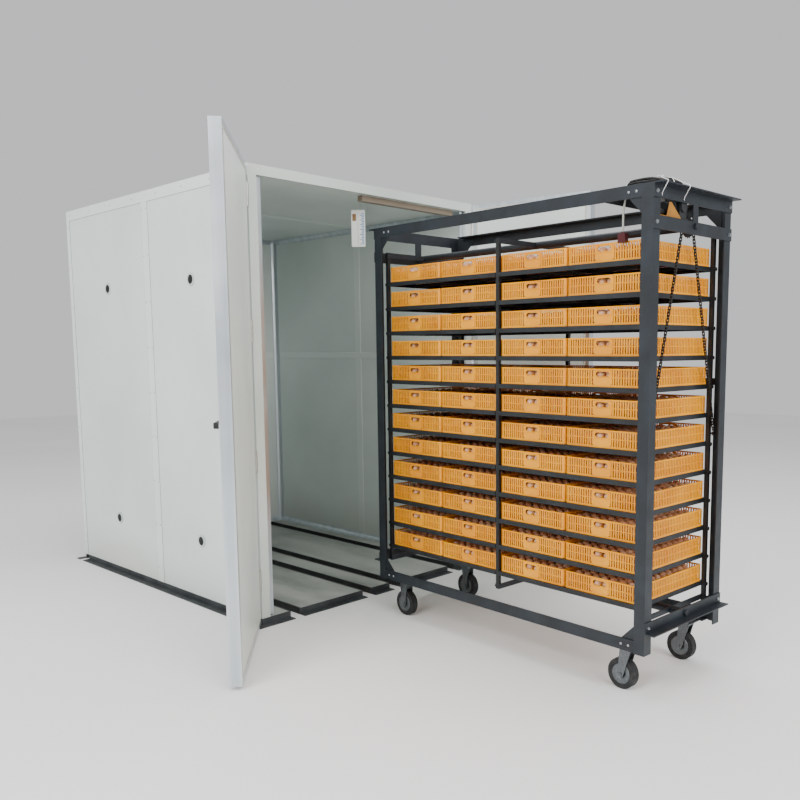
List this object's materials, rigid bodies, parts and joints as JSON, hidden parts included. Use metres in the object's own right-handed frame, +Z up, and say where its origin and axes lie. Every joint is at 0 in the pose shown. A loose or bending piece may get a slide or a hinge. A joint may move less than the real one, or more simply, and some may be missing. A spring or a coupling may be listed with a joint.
{
  "type": "walk-in egg incubator with tilting egg trolley",
  "caption": "Insulated walk-in egg incubator cabinet with two hinged doors and a rolling egg trolley whose stacked shelves tilt together.",
  "frame": {"origin": "centre of the cabinet's footprint, on the floor that it stands on", "axes": "+Z up; +Y from the doorway into the cabinet and along its depth; +X across the doorway to the right"},
  "size_m": [2.3759, 4.1241, 2.3],
  "materials": {
    "galvanised_base": "dark galvanised steel channel",
    "floor_board": "grey coated floor board",
    "panel_skin": "pre-painted steel skin of a sandwich panel, satin",
    "trim_skin": "folded pre-painted steel trim",
    "fitting_plastic": "moulded grey plastic",
    "frame_profile": "anodised aluminium profile",
    "card": "printed plastic card",
    "hinge_steel": "zinc plated steel",
    "fan_body": "enamelled sheet steel",
    "fan_blade": "pressed aluminium",
    "door_skin": "pre-painted steel skin of a sandwich door",
    "latch_steel": "enamelled lever",
    "trolley_enamel": "dark blue-grey enamel on steel angle",
    "motor_body": "brown enamelled gearmotor",
    "rod_enamel": "black enamelled square rod",
    "chain_steel": "oiled roller chain",
    "fork_steel": "zinc plated pressed steel",
    "wheel_rubber": "black moulded rubber tyre",
    "cable_sheath": "black cable sheath",
    "lead_sheath": "grey cable sheath",
    "plug_plastic": "maroon moulded plug",
    "shelf_enamel": "dark enamelled angle",
    "basket_plastic": "orange-yellow moulded plastic"
  },
  "bodies": {
    "cabinet": {"base_frame": "galvanised_base", "floor_planks": "floor_board", "side_wall_panels": "panel_skin", "rear_wall_panels": "panel_skin", "roof_panels": "panel_skin", "outer_trims": "trim_skin", "plastic_fittings": "fitting_plastic", "front_frame": "frame_profile", "thermometer_card": "card", "frame_hinge_leaves": "hinge_steel", "fan_housing": "fan_body"},
    "fan": {"fan_blades": "fan_blade"},
    "door_left": {"left_door": "door_skin", "left_hinge_leaves": "hinge_steel"},
    "latch_left": {"left_latch": "latch_steel"},
    "door_right": {"right_door": "door_skin", "right_hinge_leaves": "hinge_steel"},
    "latch_right": {"right_latch": "latch_steel"},
    "trolley": {"trolley_posts": "trolley_enamel", "trolley_bars": "trolley_enamel", "drive_motor": "motor_body", "drive_chains": "chain_steel", "forks_far": "fork_steel", "cable_coil": "cable_sheath", "switch_lead": "lead_sheath", "switch_plug": "plug_plastic"},
    "rocker_top": {"rocker_top": "trolley_enamel"},
    "rocker_bottom": {"rocker_bottom": "trolley_enamel"},
    "rods_left": {"rods_left": "rod_enamel"},
    "rods_right": {"rods_right": "rod_enamel"},
    "fork_near_left": {"fork_near_left": "fork_steel"},
    "fork_near_right": {"fork_near_right": "fork_steel"},
    "wheel_near_left": {"wheel_near_left": "wheel_rubber"},
    "wheel_near_right": {"wheel_near_right": "wheel_rubber"},
    "wheel_far_left": {"wheel_far_left": "wheel_rubber"},
    "wheel_far_right": {"wheel_far_right": "wheel_rubber"},
    "shelf_01": {"shelf_01": "shelf_enamel", "baskets_01": "basket_plastic"},
    "shelf_02": {"shelf_02": "shelf_enamel", "baskets_02": "basket_plastic"},
    "shelf_03": {"shelf_03": "shelf_enamel", "baskets_03": "basket_plastic"},
    "shelf_04": {"shelf_04": "shelf_enamel", "baskets_04": "basket_plastic"},
    "shelf_05": {"shelf_05": "shelf_enamel", "baskets_05": "basket_plastic"},
    "shelf_06": {"shelf_06": "shelf_enamel", "baskets_06": "basket_plastic"},
    "shelf_07": {"shelf_07": "shelf_enamel", "baskets_07": "basket_plastic"},
    "shelf_08": {"shelf_08": "shelf_enamel", "baskets_08": "basket_plastic"},
    "shelf_09": {"shelf_09": "shelf_enamel", "baskets_09": "basket_plastic"},
    "shelf_10": {"shelf_10": "shelf_enamel", "baskets_10": "basket_plastic"},
    "shelf_11": {"shelf_11": "shelf_enamel", "baskets_11": "basket_plastic"},
    "shelf_12": {"shelf_12": "shelf_enamel", "baskets_12": "basket_plastic"}
  },
  "joints": [
    {"name": "door_left_swing", "type": "hinge", "parent": "cabinet", "child": "door_left", "pos_m": [-0.818, -1.044, 1.155], "axis": [0, 0, 1], "range_deg": [-48, 74]},
    {"name": "door_right_swing", "type": "hinge", "parent": "cabinet", "child": "door_right", "pos_m": [0.818, -1.044, 1.155], "axis": [0, 0, 1], "range_deg": [-40, 81]},
    {"name": "latch_left_turn", "type": "hinge", "parent": "door_left", "child": "latch_left", "pos_m": [-1.35099, -1.60253, 1.1], "axis": [-0.7716, 0.6361, 0], "range_deg": [-60, 0]},
    {"name": "latch_right_turn", "type": "hinge", "parent": "door_right", "child": "latch_right", "pos_m": [0.96742, -1.80144, 1.1], "axis": [0.9925, 0.1219, 0], "range_deg": [0, 60]},
    {"name": "fan_spin", "type": "hinge", "parent": "cabinet", "child": "fan", "pos_m": [0, 0.921, 1.65], "axis": [0, 1, 0], "continuous": true},
    {"name": "trolley_roll", "type": "slide", "parent": "cabinet", "child": "trolley", "axis": [0.0523, 0.9986, 0], "range_m": [-1, 0.15]},
    {"name": "tilt", "type": "hinge", "parent": "trolley", "child": "rocker_top", "pos_m": [0.00566, -2.15672, 1.88], "axis": [0.0523, 0.9986, 0], "range_deg": [-38, 38], "deforming": ["drive_chains"]},
    {"name": "rods_left_hang", "type": "hinge", "parent": "rocker_top", "child": "rods_left", "pos_m": [-0.24799, -2.14343, 1.88], "axis": [0.0523, 0.9986, 0], "range_deg": [-38, 38]},
    {"name": "rods_right_hang", "type": "hinge", "parent": "rocker_top", "child": "rods_right", "pos_m": [0.25932, -2.17002, 1.88], "axis": [0.0523, 0.9986, 0], "range_deg": [-38, 38]},
    {"name": "shelf_01_tilt", "type": "hinge", "parent": "rods_left", "child": "shelf_01", "pos_m": [-0.24799, -2.14343, 1.7325], "axis": [0.0523, 0.9986, 0], "range_deg": [-38, 38]},
    {"name": "shelf_02_tilt", "type": "hinge", "parent": "rods_left", "child": "shelf_02", "pos_m": [-0.24799, -2.14343, 1.608], "axis": [0.0523, 0.9986, 0], "range_deg": [-38, 38]},
    {"name": "shelf_03_tilt", "type": "hinge", "parent": "rods_left", "child": "shelf_03", "pos_m": [-0.24799, -2.14343, 1.4835], "axis": [0.0523, 0.9986, 0], "range_deg": [-38, 38]},
    {"name": "shelf_04_tilt", "type": "hinge", "parent": "rods_left", "child": "shelf_04", "pos_m": [-0.24799, -2.14343, 1.359], "axis": [0.0523, 0.9986, 0], "range_deg": [-38, 38]},
    {"name": "shelf_05_tilt", "type": "hinge", "parent": "rods_left", "child": "shelf_05", "pos_m": [-0.24799, -2.14343, 1.2345], "axis": [0.0523, 0.9986, 0], "range_deg": [-38, 38]},
    {"name": "shelf_06_tilt", "type": "hinge", "parent": "rods_left", "child": "shelf_06", "pos_m": [-0.24799, -2.14343, 1.11], "axis": [0.0523, 0.9986, 0], "range_deg": [-38, 38]},
    {"name": "shelf_07_tilt", "type": "hinge", "parent": "rods_left", "child": "shelf_07", "pos_m": [-0.24799, -2.14343, 0.9855], "axis": [0.0523, 0.9986, 0], "range_deg": [-38, 38]},
    {"name": "shelf_08_tilt", "type": "hinge", "parent": "rods_left", "child": "shelf_08", "pos_m": [-0.24799, -2.14343, 0.861], "axis": [0.0523, 0.9986, 0], "range_deg": [-38, 38]},
    {"name": "shelf_09_tilt", "type": "hinge", "parent": "rods_left", "child": "shelf_09", "pos_m": [-0.24799, -2.14343, 0.7365], "axis": [0.0523, 0.9986, 0], "range_deg": [-38, 38]},
    {"name": "shelf_10_tilt", "type": "hinge", "parent": "rods_left", "child": "shelf_10", "pos_m": [-0.24799, -2.14343, 0.612], "axis": [0.0523, 0.9986, 0], "range_deg": [-38, 38]},
    {"name": "shelf_11_tilt", "type": "hinge", "parent": "rods_left", "child": "shelf_11", "pos_m": [-0.24799, -2.14343, 0.4875], "axis": [0.0523, 0.9986, 0], "range_deg": [-38, 38]},
    {"name": "shelf_12_tilt", "type": "hinge", "parent": "rods_left", "child": "shelf_12", "pos_m": [-0.24799, -2.14343, 0.363], "axis": [0.0523, 0.9986, 0], "range_deg": [-38, 38]},
    {"name": "rocker_bottom_tilt", "type": "hinge", "parent": "trolley", "child": "rocker_bottom", "pos_m": [0.00566, -2.15672, 0.3], "axis": [0.0523, 0.9986, 0], "range_deg": [-38, 38]},
    {"name": "swivel_left", "type": "hinge", "parent": "trolley", "child": "fork_near_left", "pos_m": [-0.26108, -2.85172, 0.18], "axis": [0, 0, 1], "continuous": true},
    {"name": "wheel_near_left_spin", "type": "hinge", "parent": "fork_near_left", "child": "wheel_near_left", "pos_m": [-0.25977, -2.82675, 0.065], "axis": [0.9986, -0.0523, 0], "continuous": true},
    {"name": "wheel_far_left_spin", "type": "hinge", "parent": "trolley", "child": "wheel_far_left", "pos_m": [-0.18827, -1.46262, 0.065], "axis": [0.9986, -0.0523, 0], "continuous": true},
    {"name": "swivel_right", "type": "hinge", "parent": "trolley", "child": "fork_near_right", "pos_m": [0.19829, -2.87579, 0.18], "axis": [0, 0, 1], "continuous": true},
    {"name": "wheel_near_right_spin", "type": "hinge", "parent": "fork_near_right", "child": "wheel_near_right", "pos_m": [0.1996, -2.85082, 0.065], "axis": [0.9986, -0.0523, 0], "continuous": true},
    {"name": "wheel_far_right_spin", "type": "hinge", "parent": "trolley", "child": "wheel_far_right", "pos_m": [0.27109, -1.4867, 0.065], "axis": [0.9986, -0.0523, 0], "continuous": true}
  ],
  "couplings": [
    {"joint": "rods_left_hang", "follows": "tilt", "ratio": -1},
    {"joint": "rods_right_hang", "follows": "tilt", "ratio": -1},
    {"joint": "rocker_bottom_tilt", "follows": "tilt", "ratio": 1},
    {"joint": "shelf_01_tilt", "follows": "tilt", "ratio": 1},
    {"joint": "shelf_02_tilt", "follows": "tilt", "ratio": 1},
    {"joint": "shelf_03_tilt", "follows": "tilt", "ratio": 1},
    {"joint": "shelf_04_tilt", "follows": "tilt", "ratio": 1},
    {"joint": "shelf_05_tilt", "follows": "tilt", "ratio": 1},
    {"joint": "shelf_06_tilt", "follows": "tilt", "ratio": 1},
    {"joint": "shelf_07_tilt", "follows": "tilt", "ratio": 1},
    {"joint": "shelf_08_tilt", "follows": "tilt", "ratio": 1},
    {"joint": "shelf_09_tilt", "follows": "tilt", "ratio": 1},
    {"joint": "shelf_10_tilt", "follows": "tilt", "ratio": 1},
    {"joint": "shelf_11_tilt", "follows": "tilt", "ratio": 1},
    {"joint": "shelf_12_tilt", "follows": "tilt", "ratio": 1}
  ]
}
